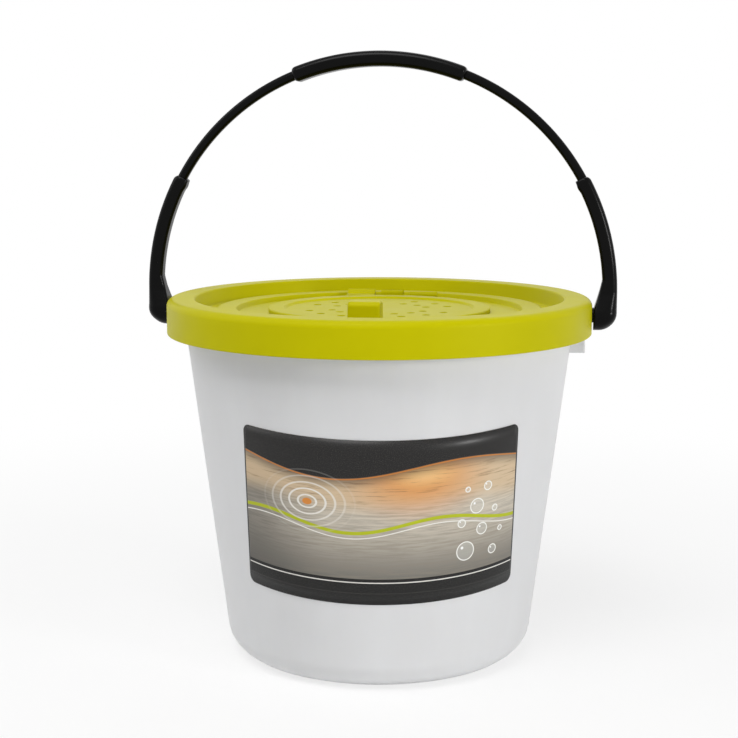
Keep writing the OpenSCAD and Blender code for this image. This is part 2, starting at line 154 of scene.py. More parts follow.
def carve(piece, bm, operation='DIFFERENCE'):
    """Cuts the shape in bm out of a piece, or with UNION melts it on."""
    tool = make_piece("carving_tool", bm)
    cut = piece.modifiers.new("carve", 'BOOLEAN')
    cut.operation = operation
    cut.solver = 'EXACT'
    cut.object = tool
    result = piece.evaluated_get(bpy.context.evaluated_depsgraph_get())
    carved = bpy.data.meshes.new_from_object(result)
    piece.modifiers.clear()
    carved.name = piece.name
    piece.data = carved
    bpy.data.objects.remove(tool)


def smooth_faces(piece, sharp=28):
    """Smooth shading that leaves flat faces flat and edges over this angle crisp."""
    piece.data.shade_smooth()
    piece.data.set_sharp_from_angle(angle=radians(sharp))
    even = piece.modifiers.new("even_normals", 'WEIGHTED_NORMAL')
    even.keep_sharp = True


def to_linear(hex_colour):
    """An sRGB hex colour as linear RGBA."""
    parts = [int(hex_colour[i:i + 2], 16) / 255 for i in (1, 3, 5)]
    return [p / 12.92 if p <= 0.04045 else ((p + 0.055) / 1.055) ** 2.4 for p in parts] + [1]


def add_node(tree, kind, inputs=(), **settings):
    """Adds a node, with its settings, and links or sets its inputs, given by name or by number."""
    node = tree.nodes.new(kind)
    for key, value in settings.items():
        setattr(node, key, value)
    for key, value in dict(inputs).items():
        if isinstance(value, bpy.types.NodeSocket):
            tree.links.new(value, node.inputs[key])
        else:
            node.inputs[key].default_value = value
    return node


def new_material(name):
    """An empty material, its node tree and its surface socket."""
    material = bpy.data.materials.new(name)
    material.use_nodes = True
    tree = material.node_tree
    tree.nodes.clear()
    out = tree.nodes.new("ShaderNodeOutputMaterial")
    return material, tree, out.inputs["Surface"]


def noise(tree, place, scale, detail, roughness=0.5):
    """A cloudy pattern from 0 to 1, with this many clouds to each unit of place."""
    return add_node(tree, "ShaderNodeTexNoise", {"Vector": place, "Scale": scale, "Detail": detail,
                                                 "Roughness": roughness}).outputs["Fac"]


def blend(tree, amount, start, end):
    """A colour that goes from one hex colour to another as amount goes from 0 to 1."""
    return add_node(tree, "ShaderNodeMix", {"Factor": amount, "A": to_linear(start), "B": to_linear(end)},
                    data_type='RGBA').outputs["Result"]


def vary(tree, pattern, low, high):
    """A roughness that goes from low to high across the middle of a noise pattern."""
    return add_node(tree, "ShaderNodeMapRange", {"Value": pattern, "From Min": 0.3, "From Max": 0.7,
                                                 "To Min": low, "To Max": high}).outputs[0]


def bumps(tree, pattern, strength, depth, under=None):
    """The lie of a surface with bumps as deep as depth in mm, on top of other bumps."""
    inputs = {"Height": pattern, "Strength": strength, "Distance": depth * MM}
    if under is not None:
        inputs["Normal"] = under
    return add_node(tree, "ShaderNodeBump", inputs).outputs[0]


def finish_surface(tree, surface, inputs):
    shader = add_node(tree, "ShaderNodeBsdfPrincipled", inputs)
    tree.links.new(shader.outputs[0], surface)


def cover(piece, material):
    piece.data.materials.clear()
    piece.data.materials.append(material)


FOOT_R, MOUTH_R, RIM_Z = 102, 132.7, 240.5
WALL_T, FLOOR_T = 2.2, 2.6
FOOT_RING_R, FOOT_RING_H = 74, 2
LIP_R, LIP_T, LIP_END_Z = 138.6, 2, 231.5
LIP_UNDER = RIM_Z - WALL_T
EAR_IN, EAR_HALF, EAR_LOW, EAR_TOP = 126, 12, 208, 239.4
PIVOT_Z, BORE_R, BORE_IN = 232, 5.2, 133.7
LOOP_IN, LOOP_OUT, LOOP_HALF, LOOP_LOW, LOOP_TOP, LOOP_T = 122, 137, 17.4, 184, 206, 2.4
# Where the ear and the loop end inside the wall at their foot, and how far that end leans out to their top
EAR_ROOT, EAR_SPREAD = 127.6, 3.9
LOOP_ROOT, LOOP_SPREAD = 123.4, 2.8
BUCKET_STEPS = 240


def wall_r(z):
    """The wall's outer radius at a height."""
    return FOOT_R + (MOUTH_R - FOOT_R) * z / RIM_Z


bucket = make_piece("bucket_pail", turned([
    (0, FOOT_RING_H, 0), (FOOT_RING_R - 2, FOOT_RING_H, 0.8), (FOOT_RING_R, 0, 0.8), (FOOT_R, 0, 20.5),
    (wall_r(LIP_UNDER), LIP_UNDER, 1), (LIP_R - LIP_T, LIP_UNDER, 0.8),
    (LIP_R - LIP_T, LIP_END_Z, 0.6), (LIP_R, LIP_END_Z, 0.6),
    (LIP_R, RIM_Z, 1.6), (MOUTH_R - WALL_T, RIM_Z, 0.8),
    (wall_r(FLOOR_T) - WALL_T, FLOOR_T, 18.3), (FOOT_RING_R, FLOOR_T, 0.8),
    (FOOT_RING_R - 2, FLOOR_T + FOOT_RING_H, 0.8), (0, FLOOR_T + FOOT_RING_H, 0),
], BUCKET_STEPS))

for side in (-1, 1):
    # The ear: a plate and two webs with rounded edges, open underneath and run into the leaning wall
    ear = open_box((EAR_IN, -EAR_HALF, EAR_LOW), (LIP_R, EAR_HALF, EAR_TOP), ((0, 0, -1), (-1, 0, 0)),
                   1.2, WALL_T)
    slice_at(ear, (EAR_ROOT, 0, EAR_LOW), (-1, 0, EAR_SPREAD / (EAR_TOP - EAR_LOW)), cut_off=True)
    soften(ear, edges_where(ear, lambda at: at.z < EAR_LOW + 0.01), 0.5, 2)
    if side < 0:
        mirror(ear)
    carve(bucket, ear, 'UNION')
    carve(bucket, rod(BORE_R, (side * BORE_IN, 0, PIVOT_Z), (side * (LIP_R + 1), 0, PIVOT_Z)))

# The loop for the pump's belt clip, a strap of plastic that stands off the back of the wall
loop = open_box((-LOOP_HALF, LOOP_IN, LOOP_LOW), (LOOP_HALF, LOOP_OUT, LOOP_TOP),
                ((0, 0, 1), (0, 0, -1), (0, -1, 0)), LOOP_T, LOOP_T, steps=5)
slice_at(loop, (0, LOOP_ROOT, LOOP_LOW), (0, -1, LOOP_SPREAD / (LOOP_TOP - LOOP_LOW)), cut_off=True)
soften(loop, edges_where(loop, lambda at: at.y > 126.5 and at.z > LOOP_TOP - 0.1)
       + edges_where(loop, lambda at: at.y > 126.5 and at.z < LOOP_LOW + 0.1), 0.5, 2)
carve(bucket, loop, 'UNION')
smooth_faces(bucket)

# Moulded polyethylene: a milky, waxy skin with soft broad highlights. Light sinks in a little, so shadows
# have soft edges, and the flow of the melt leaves faint upright clouds.
polyethylene, tree, surface = new_material("moulded_white_polyethylene")
spot = add_node(tree, "ShaderNodeTexCoord").outputs["Object"]
flow = add_node(tree, "ShaderNodeMapping", {"Vector": spot, "Scale": (1, 1, 0.22)}).outputs[0]
clouds = noise(tree, flow, 1 / (28 * MM), 3, 0.55)
waves = bumps(tree, noise(tree, flow, 1 / (45 * MM), 1), 0.5, 0.6)
# The mould's fine satin grain is about 0.3 mm and is drawn at 1.2 mm so that it shows
grain = noise(tree, spot, 1 / (1.2 * MM), 2)
finish_surface(tree, surface, {
    "Base Color": blend(tree, clouds, "#D8D8D9", "#E1E2E3"), "Roughness": vary(tree, clouds, 0.36, 0.46),
    "IOR": 1.54, "Subsurface Weight": 0.25, "Subsurface Radius": (1, 0.95, 0.85),
    "Subsurface Scale": 3 * MM, "Normal": bumps(tree, grain, 0.15, 0.05, waves)})
cover(bucket, polyethylene)

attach(bucket, "bucket")
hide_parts("bucket")


# ---------------------------------------------------------------- Label
# The label: a printed polypropylene film, 190.5 by 108.3 mm, laminated and stuck round the front of the
# wall, a little to the right. It is cut flat with rounded corners, so on the leaning wall its long edges
# curve.

LABEL_W, LABEL_H, LABEL_Z, LABEL_CORNER = 190.5, 108.3, 114.1, 5
LABEL_TURN = radians(7.4)
FILM_T, GLUE_T = 0.3, 0.12

film = bmesh.new()
edge_line = draw_outline(film, [(x * LABEL_W / 2, z * LABEL_H / 2, LABEL_CORNER)
                                for x, z in ((-1, -1), (1, -1), (1, 1), (-1, 1))], closed=True)
bmesh.ops.contextual_create(film, geom=edge_line)
# Strips and rows that are narrow enough to bend smoothly round the wall
for count, size, way in ((97, LABEL_W, (1, 0, 0)), (12, LABEL_H, (0, 0, 1))):
    for i in range(1, count):
        slice_at(film, Vector(way) * size * (i / count - 0.5), way)
flat_map = film.loops.layers.uv.new("flat_label")
for face in film.faces:
    for loop_corner in face.loops:
        at = loop_corner.vert.co / MM
        loop_corner[flat_map].uv = (at.x / LABEL_W + 0.5, at.z / LABEL_H + 0.5)

# Wrapped as real film is, with no stretch, on the cone that the wall is part of
lean = atan((MOUTH_R - FOOT_R) / RIM_Z)
slant = (wall_r(LABEL_Z) + GLUE_T) / sin(lean)
for vert in film.verts:
    at = vert.co / MM
    reach = hypot(at.x, slant + at.z)
    turn = atan2(at.x, slant + at.z) / sin(lean) + LABEL_TURN
    vert.co = Vector((sin(turn) * reach * sin(lean), -cos(turn) * reach * sin(lean),
                      LABEL_Z + (reach - slant) * cos(lean))) * MM
bmesh.ops.recalc_face_normals(film, faces=film.faces[:])
if sum(face.normal.y for face in film.faces) > 0:
    bmesh.ops.reverse_faces(film, faces=film.faces[:])
label = make_piece("front_label", film)
label.data.shade_smooth()
thickness = label.modifiers.new("film_thickness", 'SOLIDIFY')
thickness.thickness = FILM_T * MM
thickness.offset = 1
thickness.use_even_offset = True
thickness.material_offset_rim = 1

# Printed and laminated film: flat inks under a clear skin, so it shines more sharply than the pail. The
# print is long water waves under a warm glow, ripple rings and rising bubbles.
printed_film, print_tree, surface = new_material("printed_laminated_film")


def maths(tree, operation, *values, **settings):
    return add_node(tree, "ShaderNodeMath", dict(enumerate(values)), operation=operation,
                    **settings).outputs[0]


def vector_maths(tree, operation, *values):
    return add_node(tree, "ShaderNodeVectorMath", dict(enumerate(values)), operation=operation)


flat = add_node(print_tree, "ShaderNodeUVMap", uv_map="flat_label").outputs[0]
in_mm = vector_maths(print_tree, 'MULTIPLY', flat, (LABEL_W, LABEL_H, 0)).outputs[0]
place = add_node(print_tree, "ShaderNodeSeparateXYZ", {0: in_mm})
across, up = place.outputs["X"], place.outputs["Y"]


def swell(height, swing, length=118, shift=0.7):
    """Height in mm above a long wave that crosses the label: above it is positive."""
    wave = maths(print_tree, 'SINE', maths(print_tree, 'MULTIPLY_ADD', across, 2 * pi / length, shift))
    crest = maths(print_tree, 'MULTIPLY_ADD', wave, swing, height)
    return maths(print_tree, 'SUBTRACT', up, crest)


def ink(under, hex_colour, amount):
    """Prints a colour over what is under it, by an amount from 0 to 1."""
    return add_node(print_tree, "ShaderNodeMix", {"Factor": amount, "A": under, "B": to_linear(hex_colour)},
                    data_type='RGBA').outputs["Result"]


def step_up(value, start, end, low=0.0, high=1.0):
    """A soft step from low to high as a value in mm goes from start to end."""
    return add_node(print_tree, "ShaderNodeMapRange", {"Value": value, "From Min": start, "From Max": end,
                                                       "To Min": low, "To Max": high},
                    interpolation_type='SMOOTHSTEP').outputs[0]


def both(one, other):
    return maths(print_tree, 'MULTIPLY', one, other)


def line_at(value, middle, half, edge):
    """A line where a value in mm passes the middle, with its half width and its soft edge in mm."""
    return both(step_up(value, middle - half, middle - half + edge),
                step_up(value, middle + half, middle + half - edge))


def away_from(x, y, flatness=1.0):
    """Distance in mm from a point on the label, with upright distances times flatness."""
    off = vector_maths(print_tree, 'SUBTRACT', in_mm, (x, y, 0)).outputs[0]
    off = vector_maths(print_tree, 'MULTIPLY', off, (1, flatness, 0)).outputs[0]
    return vector_maths(print_tree, 'LENGTH', off).outputs["Value"]


# Water, from dim grey at the bottom to pale sand, with level streaks
streaks = add_node(print_tree, "ShaderNodeMapping", {"Vector": in_mm, "Scale": (0.045, 0.7, 1)}).outputs[0]
streaks = noise(print_tree, streaks, 1, 4, 0.6)
art = blend(print_tree, step_up(up, 10, 62), "#6E6C66", "#D0C7B7")
art = ink(art, "#8D8579", both(step_up(streaks, 0.38, 0.66), 0.55))
art = ink(art, "#4A4946", both(step_up(across, 70, 0), 0.62))
# Above the first swell the water takes the glow
far_water = swell(61, 3.2)
art = ink(art, "#D6BC98", both(step_up(far_water, -1, 14), 0.85))
art = ink(art, "#DE9A55", step_up(away_from(118, 84, 1.7), 58, 6, 0, 0.95))
art = ink(art, "#F2C88A", step_up(away_from(121, 86, 2.6), 30, 2, 0, 0.8))
art = ink(art, "#7A5A3D", both(step_up(streaks, 0.52, 0.7), both(step_up(far_water, 4, 12), 0.55)))
# The dark top, with a warm line along its edge
dark_top = swell(88, 5.5, 171, 2.4)
art = ink(art, "#2A2320", both(step_up(dark_top, -9, 2), 0.75))
art = ink(art, "#1B1A1A", step_up(dark_top, 0.0, 0.7))
art = ink(art, "#C77B36", line_at(dark_top, -0.3, 0.6, 0.4))
# Two thin lines that follow the swell, one yellow-green and one white
art = ink(art, "#B4BD1C", line_at(swell(52, 4.5), 0, 1.3, 0.3))
art = ink(art, "#EDEBE4", line_at(swell(48.4, 4.5), 0, 0.45, 0.2))
# Ripple rings, 6.2 mm apart and wider than they are high, that fade as they spread
ripple = away_from(48, 66, 1.5)
rings = maths(print_tree, 'COSINE', maths(print_tree, 'MULTIPLY', ripple, 2 * pi / 6.2))
art = ink(art, "#F0EDE6", both(step_up(rings, 0.66, 0.86), step_up(ripple, 36, 9, 0, 0.9)))
art = ink(art, "#D98B3E", step_up(ripple, 3.4, 3.0))
# Bubbles: pale rings with a faint fill and a small highlight
for x, y, size in ((150, 31, 6.5), (162, 44, 4.2), (147, 50, 3.0), (171, 28, 3.4), (158, 60, 5.2),
                   (172, 56, 2.4), (166, 72, 3.2), (151, 72, 2.0), (177, 41, 2.0)):
    away = away_from(x, y)
    art = ink(art, "#D8DAD4", step_up(away, size, size - 0.4, 0, 0.28))
    art = ink(art, "#F3F3EE", line_at(away, size - 0.4, 0.5, 0.3))
    glint = away_from(x - 0.38 * size, y + 0.38 * size)
    art = ink(art, "#FFFFFF", step_up(glint, 0.2 * size, 0.1 * size))
# The dark foot band with its two lines, and a dark edge at both ends
art = ink(art, "#161616", step_up(up, 17.4, 17.1))
art = ink(art, "#E9E7E1", line_at(up, 14.75, 0.45, 0.2))
art = ink(art, "#2E2D2B", both(line_at(up, 7.6, 0.4, 0.2), 0.9))
from_middle = maths(print_tree, 'ABSOLUTE', maths(print_tree, 'SUBTRACT', across, LABEL_W / 2))
art = ink(art, "#1B1A1A", step_up(from_middle, LABEL_W / 2 - 1.3, LABEL_W / 2 - 1.0))
# The printing screen's dots are about 0.15 mm and are drawn at 0.6 mm so that they show
screen = noise(print_tree, in_mm, 1 / 0.6, 1)
art = ink(art, "#9A948A", step_up(screen, 0.45, 0.8, 0, 0.10))
# The film follows the pail's slight waves and keeps a few shallow air marks from the smoothing roller
film_waves = noise(print_tree, in_mm, 1 / 22, 2)
finish_surface(print_tree, surface, {
    "Base Color": art, "Roughness": 0.42, "IOR": 1.49, "Specular IOR Level": 0.22, "Coat Weight": 0.12,
    "Coat Roughness": 0.22, "Normal": bumps(print_tree, film_waves, 0.6, 0.35)})

# The film's cut edge shows its white core
film_core, tree, surface = new_material("white_film_core")
spot = add_node(tree, "ShaderNodeTexCoord").outputs["Object"]
fibres = noise(tree, spot, 1 / (2 * MM), 2)
finish_surface(tree, surface, {"Base Color": blend(tree, fibres, "#DAD9D5", "#ECEBE8"),
                               "Roughness": 0.55, "IOR": 1.49})
cover(label, printed_film)
label.data.materials.append(film_core)

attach(label, "bucket")
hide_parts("label")


# ---------------------------------------------------------------- Lid
# The lid: one injection-moulded sheet of lime polypropylene, 2.2 mm thick, in steps from the skirt to the
# round opening. A clip for the hatch's hinge bar and a collar round the hose hole stand on the well's
# floor.

LID_TOP, LID_R, LID_T = 243, 143, 2.2
WELL_Z, WELL_R, WELL_LEAN = 232.5, 121.5, 3
RING_Z, RING_IN, RING_OUT, RING_LEAN = 236, 95, 110.5, 1.5
OPENING_R = 66.3
SKIRT_T, SKIRT_LOW, BEAD_Z, BEAD = 2, 219.7, 229.3, 1.6
NOTCH_HALF, NOTCH_IN, NOTCH_OUT, NOTCH_LOW = 7, 129, 146, 218
HOSE_Y, HOSE_R, COLLAR_R, COLLAR_TOP = 116, 3.5, 5.2, 234.5
HINGE_Y, HINGE_Z = 84, 235.4
CLIP_HALF, CLIP_OUT, CLIP_IN, CLIP_TOP = 8, 3.6, 2.1, 238.8
# How far the clip reaches down into the well's floor, which makes the two one moulding
FUSED = 1
LID_STEPS = 288


def draw_out(bm, faces, by):
    """Turns flat faces into a solid as thick as by, in mm."""
    new = bmesh.ops.extrude_face_region(bm, geom=faces, use_keep_orig=True)["geom"]
    bmesh.ops.translate(bm, vec=Vector(by) * MM,
                        verts=[item for item in new if isinstance(item, bmesh.types.BMVert)])


def end_rims(bm):
    """The edges round the two ends of a bar that lies along X."""
    return [edge for edge in bm.edges if abs(edge.verts[0].co.x - edge.verts[1].co.x) < 1e-7]


def along_x(low, high, corners, steps=6, edge=0.3):
    """A bar from low to high along X, whose end view, in Y and Z, has these corners."""
    bm = bmesh.new()
    ring = draw_outline(bm, corners, lambda y, z: Vector((low, y, z)) * MM, closed=True, steps=steps)
    end = bmesh.ops.contextual_create(bm, geom=ring)["faces"]
    draw_out(bm, end, (high - low, 0, 0))
    close_up(bm)
    if edge:
        soften(bm, end_rims(bm), edge, 2)
    return bm


def melt_in(bm, other):
    """Adds another shape to this one, as a part of the same moulding."""
    mesh = bpy.data.meshes.new("part")
    other.to_mesh(mesh)
    other.free()
    bm.from_mesh(mesh)
    bpy.data.meshes.remove(mesh)
    return bm


lid = make_piece("lid_cover", turned([
    # Underneath, from the opening out to the skirt's foot
    (OPENING_R, WELL_Z, 0.5), (OPENING_R, WELL_Z - LID_T, 0.5),
    (RING_IN + LID_T, WELL_Z - LID_T, 0), (RING_IN + RING_LEAN + LID_T, RING_Z - LID_T, 0),
    (RING_OUT - RING_LEAN - LID_T, RING_Z - LID_T, 0), (RING_OUT - LID_T, WELL_Z - LID_T, 0),
    (WELL_R + LID_T, WELL_Z - LID_T, 1), (WELL_R + WELL_LEAN + LID_T, LID_TOP - LID_T, 0.8),
    (LID_R - SKIRT_T, LID_TOP - LID_T, 2), (LID_R - SKIRT_T, BEAD_Z + 1.2, 0),
    (LID_R - SKIRT_T - BEAD, BEAD_Z, 0.3), (LID_R - SKIRT_T, BEAD_Z - 1.8, 0),
    (LID_R - SKIRT_T, SKIRT_LOW, 0.6), (LID_R, SKIRT_LOW, 0.6),
    # On top, from the skirt back in to the opening
    (LID_R, LID_TOP, 5), (WELL_R + WELL_LEAN, LID_TOP, 1.5), (WELL_R, WELL_Z, 1.5),
    (RING_OUT, WELL_Z, 0.8), (RING_OUT - RING_LEAN, RING_Z, 1),
    (RING_IN + RING_LEAN, RING_Z, 1), (RING_IN, WELL_Z, 0.8),
], LID_STEPS, closed=True, rounding_steps=8))
for side in (-1, 1):
    # The notch in the skirt, open at the bottom and round at the top, that drops over a bail pin
    low, high = sorted((side * NOTCH_IN, side * NOTCH_OUT))
    notch_top = PIVOT_Z + NOTCH_HALF
    carve(lid, along_x(low, high, [(-NOTCH_HALF, NOTCH_LOW, 0), (NOTCH_HALF, NOTCH_LOW, 0),
                                   (NOTCH_HALF, notch_top, NOTCH_HALF - 0.01),
                                   (-NOTCH_HALF, notch_top, NOTCH_HALF - 0.01)], steps=12, edge=0))
carve(lid, rod(HOSE_R, (0, HOSE_Y, 229), (0, HOSE_Y, 236)))
collar_low = WELL_Z - FUSED - 0.1
hose_collar = turned([(HOSE_R, collar_low, 0), (COLLAR_R, collar_low, 0), (COLLAR_R, COLLAR_TOP, 0.5),
                      (HOSE_R, COLLAR_TOP, 0.4)], 48, closed=True, rounding_steps=3)
bmesh.ops.translate(hose_collar, vec=(0, HOSE_Y * MM, 0), verts=hose_collar.verts[:])
# The clip's jaws close in a little over the bar, and have rounded lips
jaw = [(CLIP_OUT, WELL_Z - FUSED, 0), (CLIP_OUT, CLIP_TOP, 2.4), (CLIP_IN - 0.35, CLIP_TOP, 0.4),
       (CLIP_IN - 0.35, 236.7, 0.2), (CLIP_IN, 236, 0), (CLIP_IN, HINGE_Z - CLIP_IN, CLIP_IN - 0.05)]
clip = along_x(-CLIP_HALF, CLIP_HALF, jaw + [(-y, z, rounding) for y, z, rounding in reversed(jaw)])
bmesh.ops.translate(clip, vec=(0, HINGE_Y * MM, 0), verts=clip.verts[:])
whole = bmesh.new()
whole.from_mesh(lid.data)
melt_in(whole, hose_collar)
melt_in(whole, clip)
whole.to_mesh(lid.data)
whole.free()
smooth_faces(lid)

# Moulded polypropylene in lime: satin, so the lamps leave only broad soft sheens on it, and its flats
# carry a slight wave where the thick sheet sank as it cooled. The pigment is a little uneven.
lime, tree, surface = new_material("moulded_lime_polypropylene")
spot = add_node(tree, "ShaderNodeTexCoord").outputs["Object"]
pigment = noise(tree, spot, 1 / (35 * MM), 3)
sunken = bumps(tree, noise(tree, spot, 1 / (30 * MM), 1), 0.5, 0.4)
# The polished mould's orange peel is about 0.5 mm and is drawn at 1.5 mm so that it shows
peel = noise(tree, spot, 1 / (1.5 * MM), 2)
finish_surface(tree, surface, {
    "Base Color": blend(tree, pigment, "#B9B400", "#C1BB02"), "Roughness": vary(tree, pigment, 0.42, 0.5),
    "IOR": 1.49, "Specular IOR Level": 0.16, "Specular Tint": to_linear("#FFF08C"),
    "Subsurface Weight": 0.1, "Subsurface Radius": (1, 0.9, 0.1), "Subsurface Scale": 1.5 * MM,
    "Normal": bumps(tree, peel, 0.12, 0.04, sunken)})
cover(lid, lime)

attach(lid, "lid")
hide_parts("lid")


# ---------------------------------------------------------------- Hatch
# The hatch: a moulded disc of the same lime polypropylene, with a raised ring, 24 vent holes, two ribs and
# a plug underneath. Its thumb tab is hollow, and its hinge bar snaps into the lid's clip.

HATCH_R, HATCH_TOP, HATCH_T, HATCH_LOW = 75, 236, 2, 232.8
PANEL_R, PANEL_Z, PLATE_R = 63, 234.5, 60
PLUG_R, PLUG_LOW = 65.5, 227.5
FLANGE_Z = HATCH_TOP - HATCH_T
HATCH_STEPS = 192
VENT_R, VENT_CIRCLES, VENT_ANGLES = 2.75, (33, 48.5), (22, 44, 66)
RIB_X, RIB_HALF, RIB_REACH, RIB_LOW = 3.4, 0.7, 48.5, 231
TAB_HALF, TAB_FRONT, TAB_BACK, TAB_TOP, TAB_T = 10.3, -85, -67, 248, 1.5
LUG_X, LUG_HALF, KNUCKLE_R, BAR_R = 22.6, 10, 2.5, 2
BRIDGE_OUT = 79
HOLLOW_R, HOLLOW_Y, HOLLOW_LOW, HOLLOW_TOP = 3, 77.5, 232, 235

moulding = turned([
    (PLATE_R, PANEL_Z, 0), (PANEL_R, PANEL_Z, 0.8), (PANEL_R + 1.5, HATCH_TOP, 0.8),
    (HATCH_R, HATCH_TOP, 1.2), (HATCH_R, HATCH_LOW, 0.3), (HATCH_R - HATCH_T, HATCH_LOW, 0.3),
    (HATCH_R - HATCH_T, FLANGE_Z, 0.5), (PLUG_R, FLANGE_Z, 0.5), (PLUG_R, PLUG_LOW, 0.8),
    (PLUG_R - HATCH_T, PLUG_LOW, 0.5), (PLUG_R - HATCH_T, PANEL_Z - HATCH_T, 0.5),
    (PLATE_R, PANEL_Z - HATCH_T, 0),
], HATCH_STEPS)

# The perforated middle: a round plate with three holes on each of two circles in every quarter
plate = bmesh.new()
bmesh.ops.create_circle(plate, segments=HATCH_STEPS, radius=PLATE_R * MM)
for quarter in range(4):
    for angle in VENT_ANGLES:
        # The quarters mirror each other, so every second one counts its angles backwards
        turn = radians(90 * quarter + (angle if quarter % 2 == 0 else 90 - angle))
        for distance in VENT_CIRCLES:
            centre = Matrix.Translation(Vector((cos(turn), sin(turn), 0)) * distance * MM)
            bmesh.ops.create_circle(plate, segments=28, radius=VENT_R * MM, matrix=centre)
bmesh.ops.triangle_fill(plate, use_beauty=True, edges=plate.edges[:])
bmesh.ops.recalc_face_normals(plate, faces=plate.faces[:])
if plate.faces[:][0].normal.z < 0:
    bmesh.ops.reverse_faces(plate, faces=plate.faces[:])
draw_out(plate, plate.faces[:], (0, 0, -HATCH_T))
# Its outer edge stays open, since it joins the turned part there
outer_edge = [face for face in plate.faces
              if all(hypot(v.co.x, v.co.y) > (PLATE_R - 0.1) * MM for v in face.verts)]
bmesh.ops.delete(plate, geom=outer_edge, context='FACES')
bmesh.ops.recalc_face_normals(plate, faces=plate.faces[:])
hole_rims = [e for e in plate.edges if len(e.link_faces) == 2
             and abs(e.link_faces[0].normal.z - e.link_faces[1].normal.z) > 0.5
             and hypot(e.verts[0].co.x, e.verts[0].co.y) < (PLATE_R - 1) * MM]
soften(plate, hole_rims, 0.35)
bmesh.ops.translate(plate, vec=(0, 0, PANEL_Z * MM), verts=plate.verts[:])
close_up(melt_in(moulding, plate))

# The two ribs across the middle, underneath, which reach 1 mm up into the panel
for x in (-RIB_X, RIB_X):
    rib = block((x - RIB_HALF, -RIB_REACH, RIB_LOW), (x + RIB_HALF, RIB_REACH, PANEL_Z - 1))
    soften(rib, edges_where(rib, lambda at: at.z < RIB_LOW + 0.01), 0.4, 2)
    melt_in(moulding, rib)

# The thumb tab: a block that is rounded over on top, more at its back than at its front, and hollow
tab = block((-TAB_HALF, TAB_FRONT, FLANGE_Z), (TAB_HALF, TAB_BACK, TAB_TOP))
soften(tab, edges_where(tab, lambda at: at.z > TAB_TOP - 0.1 and at.y > TAB_BACK - 0.1), 5, 8)
soften(tab, edges_where(tab, lambda at: at.z > TAB_TOP - 0.1 and at.y < TAB_FRONT + 0.1), 3.5, 8)
bottom = [face for face in tab.faces if face.normal.z < -0.9]
bmesh.ops.delete(tab, geom=bottom, context='FACES_ONLY')
side_edges = [e for e in tab.edges if len(e.link_faces) == 2
              and abs(e.link_faces[0].normal.x) + abs(e.link_faces[1].normal.x) > 0.9
              and abs(e.link_faces[0].normal.x - e.link_faces[1].normal.x) > 0.5]
soften(tab, side_edges, 1.6, 5)
bmesh.ops.recalc_face_normals(tab, faces=tab.faces[:])
bmesh.ops.solidify(tab, geom=tab.faces[:], thickness=TAB_T * MM)
melt_in(moulding, close_up(tab))

# The hinge: on each side a lug with a leaf, a knuckle and a heel that stops the hatch, and the bar and a
# bridge between them
leaf_y = HATCH_R - HATCH_T
for side in (-1, 1):
    low, high = side * LUG_X - LUG_HALF, side * LUG_X + LUG_HALF
    leaf = along_x(low, high, [(leaf_y, FLANGE_Z + 0.2, 0), (HINGE_Y, HINGE_Z - KNUCKLE_R, 0),
                               (HINGE_Y, HATCH_TOP, 0.8), (leaf_y, HATCH_TOP, 0)])
    knuckle = rod(KNUCKLE_R, (low, HINGE_Y, HINGE_Z), (high, HINGE_Y, HINGE_Z), 32)
    soften(knuckle, end_rims(knuckle), 0.3, 2)
    heel = along_x(low, high, [(81.6, HINGE_Z, 0), (84.5, HINGE_Z, 0), (85.6, 239, 0.3), (84.1, 239, 0.3)])
    for part in (leaf, knuckle, heel):
        melt_in(moulding, part)
gap_half = LUG_X - LUG_HALF + 0.4
melt_in(moulding, rod(BAR_R, (-gap_half, HINGE_Y, HINGE_Z), (gap_half, HINGE_Y, HINGE_Z), 32))
bridge = block((-gap_half, leaf_y, FLANGE_Z), (gap_half, BRIDGE_OUT, HATCH_TOP))
soften(bridge, edges_where(bridge, lambda at: at.y > BRIDGE_OUT - 0.1), 0.4, 2)
melt_in(moulding, bridge)
hatch = make_piece("hatch_door", moulding)
for side in (-1, 1):
    # The hollow under each leaf, which keeps the moulding's thickness even
    carve(hatch, rod(HOLLOW_R, (side * LUG_X, HOLLOW_Y, HOLLOW_LOW), (side * LUG_X, HOLLOW_Y, HOLLOW_TOP)))
smooth_faces(hatch)
cover(hatch, lime)

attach(hatch, "hatch")
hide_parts("hatch")


# ---------------------------------------------------------------- Bail strap
# The strap: a slim bow of black polypropylene, 7.4 mm by 6.4 mm and nearly round, moulded as one arch. Its
# ends are fixed in the two arms, and the grip holds its middle.

ARCH_Z = 246.7
STRAP_IN, STRAP_OUT, STRAP_DEPTH, STRAP_EDGE = 151.1, 157.5, 7.4, 2.85
STRAP_START, STRAP_STEPS = 22.5, 120
BAIL_SHARP = 50


def hoop(bm, inner, outer, depth, inner_edge, outer_edge, angle=0.0, z=ARCH_Z):
    """One cross-section of the bail, laid out level at height z and swung up round the arch's middle."""
    half = depth / 2
    ring = draw_outline(bm, [(inner, -half, inner_edge), (outer, -half, outer_edge),
                             (outer, half, outer_edge), (inner, half, inner_edge)],
                        lambda x, y: Vector((x, y, z)) * MM, closed=True, steps=6)
    verts = list({v for e in ring for v in e.verts})
    middle = Vector((0, 0, ARCH_Z * MM))
    bmesh.ops.rotate(bm, cent=middle, matrix=Matrix.Rotation(-radians(angle), 3, 'Y'), verts=verts)
    return ring


def skin_over(bm, hoops):
    """Covers a row of cross-sections and closes both ends."""
    for here, there in zip(hoops, hoops[1:]):
        bmesh.ops.bridge_loops(bm, edges=here + there)
    bmesh.ops.holes_fill(bm, edges=[e for e in bm.edges if e.is_boundary], sides=0)
    return close_up(bm)


